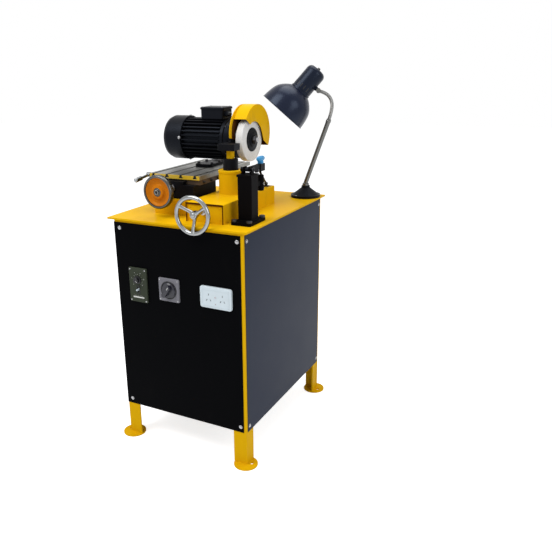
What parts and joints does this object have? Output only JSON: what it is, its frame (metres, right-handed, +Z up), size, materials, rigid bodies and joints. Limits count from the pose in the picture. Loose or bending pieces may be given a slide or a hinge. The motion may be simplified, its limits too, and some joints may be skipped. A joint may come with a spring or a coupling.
{
  "type": "circular saw blade sharpener",
  "caption": "Floor-standing grinder for saw blade teeth: sheet cabinet, lifting motor head with guarded wheel, T-slot slide, tooth feed lever and work lamp.",
  "frame": {"origin": "on the floor, midway between the four anchor holes of the feet", "axes": "+X to the operator's right, +Y to the rear, +Z up"},
  "size_m": [0.5982, 0.704, 1.3181],
  "materials": {
    "yellow_paint": "gloss",
    "black_sheet": "gloss",
    "black_casting": "satin",
    "black_motor": "satin",
    "black_steel": "satin",
    "lamp_black": "satin",
    "lamp_socket_black": "satin",
    "steel": "machined",
    "core_steel": "varnished",
    "chrome": "polished",
    "orange_wheel": "gloss with a polished rim",
    "saddle_grey": "satin",
    "black_flange": "satin",
    "abrasive_white": "rough",
    "olive_plate": "satin",
    "grey_plate": "satin",
    "black_plastic": "gloss",
    "white_plastic": "gloss",
    "blue_plastic": "gloss",
    "bulb_glass": "frosted"
  },
  "bodies": {
    "stand": {"frame_legs": "yellow_paint", "foot_discs": "yellow_paint", "frame_rails": "yellow_paint", "front_panel": "black_sheet", "side_panels": "black_sheet", "rear_panel": "black_sheet", "panel_screws": "steel", "table_top": "yellow_paint", "speed_control": "olive_plate", "main_switch": "grey_plate", "socket_outlet": "white_plastic", "base_box": "yellow_paint", "box_cover": "yellow_paint", "column_sleeve": "yellow_paint", "slide_pedestal": "yellow_paint", "slide_base": "black_casting", "feed_post": "black_steel", "post_head": "black_casting", "lever_buffer": "black_steel", "feed_motor": "black_steel", "hold_down_bolts": "steel", "lamp_base": "lamp_black"},
    "speed_knob": {"speed_knob": "black_plastic"},
    "run_switch": {"run_switch": "black_plastic"},
    "main_switch_knob": {"main_switch_knob": "black_plastic"},
    "lift_wheel": {"lift_handwheel": "chrome", "lift_shaft": "steel"},
    "lift_screw": {"lift_screw": "steel"},
    "ram": {"ram": "black_casting"},
    "head": {"swivel_neck": "yellow_paint", "head_bracket": "black_casting", "motor_housing": "black_motor", "end_shields": "black_motor", "motor_bearings": "steel", "stator_core": "core_steel", "fan_cover": "black_steel", "terminal_box": "black_motor", "wheel_guard": "yellow_paint"},
    "spindle": {"motor_shaft": "steel", "cooling_fan": "black_plastic", "wheel_flanges": "black_flange", "grinding_wheel": "abrasive_white"},
    "slide_screw": {"slide_screw": "steel", "slide_handwheel": "orange_wheel"},
    "table": {"slide_table": "steel", "table_saddle": "saddle_grey", "arbor_base": "black_casting"},
    "clamp_lever": {"clamp_lever": "chrome"},
    "arbor": {"blade_arbor": "steel", "arbor_nut": "steel"},
    "feed_cam": {"feed_cam": "steel"},
    "feed_rod": {"feed_rod": "black_steel"},
    "pawl_lever": {"pawl_lever": "steel"},
    "feed_pawl": {"feed_pawl": "steel"},
    "stroke_knob": {"stroke_knob": "blue_plastic"},
    "lamp_arm": {"lamp_arm": "steel", "lamp_gooseneck": "steel"},
    "lamp_head": {"lamp_shade": "lamp_black", "lamp_socket": "lamp_socket_black", "lamp_bulb": "bulb_glass"}
  },
  "joints": [
    {"name": "speed_turn", "type": "hinge", "parent": "stand", "child": "speed_knob", "pos_m": [-0.161, -0.3285, 0.627], "axis": [0, -1, 0], "range_deg": [0, 270]},
    {"name": "run_rock", "type": "hinge", "parent": "stand", "child": "run_switch", "pos_m": [-0.161, -0.3235, 0.591], "axis": [1, 0, 0], "range_deg": [-12, 12]},
    {"name": "main_turn", "type": "hinge", "parent": "stand", "child": "main_switch_knob", "pos_m": [-0.034, -0.3275, 0.607], "axis": [0, -1, 0], "range_deg": [-90, 0]},
    {"name": "lift_turn", "type": "hinge", "parent": "stand", "child": "lift_wheel", "pos_m": [0.079, -0.263, 0.876], "axis": [0, -1, 0], "range_deg": [-3598, 1077]},
    {"name": "lift_screw_turn", "type": "hinge", "parent": "stand", "child": "lift_screw", "pos_m": [0.079, -0.082, 0.86], "axis": [0, 0, 1], "range_deg": [-3598, 1077]},
    {"name": "ram_lift", "type": "slide", "parent": "stand", "child": "ram", "axis": [0, 0, 1], "range_m": [-0.012, 0.04]},
    {"name": "head_swivel", "type": "hinge", "parent": "ram", "child": "head", "pos_m": [0.079, -0.082, 1.04], "axis": [0, 0, 1], "range_deg": [-10, 20]},
    {"name": "spindle_spin", "type": "hinge", "parent": "head", "child": "spindle", "pos_m": [0.079, 0.023, 1.075], "axis": [1, 0, 0], "continuous": true},
    {"name": "slide_turn", "type": "hinge", "parent": "stand", "child": "slide_screw", "pos_m": [-0.098, -0.2, 0.926], "axis": [0, -1, 0], "range_deg": [-4949, 2249]},
    {"name": "table_slide", "type": "slide", "parent": "stand", "child": "table", "axis": [0, 1, 0], "range_m": [-0.025, 0.055]},
    {"name": "clamp_turn", "type": "hinge", "parent": "table", "child": "clamp_lever", "pos_m": [-0.209, -0.16, 0.9613], "axis": [-1, 0, 0], "range_deg": [0, 70]},
    {"name": "arbor_spin", "type": "hinge", "parent": "table", "child": "arbor", "pos_m": [-0.098, 0.16, 0.985], "axis": [0, 0, 1], "continuous": true},
    {"name": "cam_turn", "type": "hinge", "parent": "stand", "child": "feed_cam", "pos_m": [0.128, 0.09, 0.862], "axis": [1, 0, 0], "range_deg": [0, 150]},
    {"name": "rod_lift", "type": "slide", "parent": "stand", "child": "feed_rod", "axis": [0, 0, 1], "range_m": [0, 0.011]},
    {"name": "lever_rock", "type": "hinge", "parent": "stand", "child": "pawl_lever", "pos_m": [0.207, -0.201, 1.009], "axis": [1, 0, 0], "range_deg": [0, 6.3]},
    {"name": "pawl_flick", "type": "hinge", "parent": "pawl_lever", "child": "feed_pawl", "pos_m": [0.207, -0.139, 0.997], "axis": [0, 0, 1], "range_deg": [-12, 12], "stiffness_Nm_per_rad": 0.06},
    {"name": "stroke_turn", "type": "hinge", "parent": "pawl_lever", "child": "stroke_knob", "pos_m": [0.207, -0.109, 1.021], "axis": [0, 0, 1], "range_deg": [-360, 360]},
    {"name": "lamp_swivel", "type": "hinge", "parent": "stand", "child": "lamp_arm", "pos_m": [0.209, 0.268, 0.881], "axis": [0, 0, 1], "range_deg": [-45, 45]},
    {"name": "lamp_tilt", "type": "hinge", "parent": "lamp_arm", "child": "lamp_head", "pos_m": [0.255, 0.268, 1.228], "axis": [-0.3413, 0.9291, -0.1426], "range_deg": [-20, 20]}
  ],
  "couplings": [
    {"joint": "lift_screw_turn", "follows": "lift_turn", "ratio": 1},
    {"joint": "ram_lift", "follows": "lift_turn", "m_per_rad": -0.00063662},
    {"joint": "table_slide", "follows": "slide_turn", "m_per_rad": -0.00063662},
    {"joint": "cam_turn", "follows": "rod_lift", "rad_per_m": 238},
    {"joint": "lever_rock", "follows": "rod_lift", "rad_per_m": 9.8039}
  ]
}
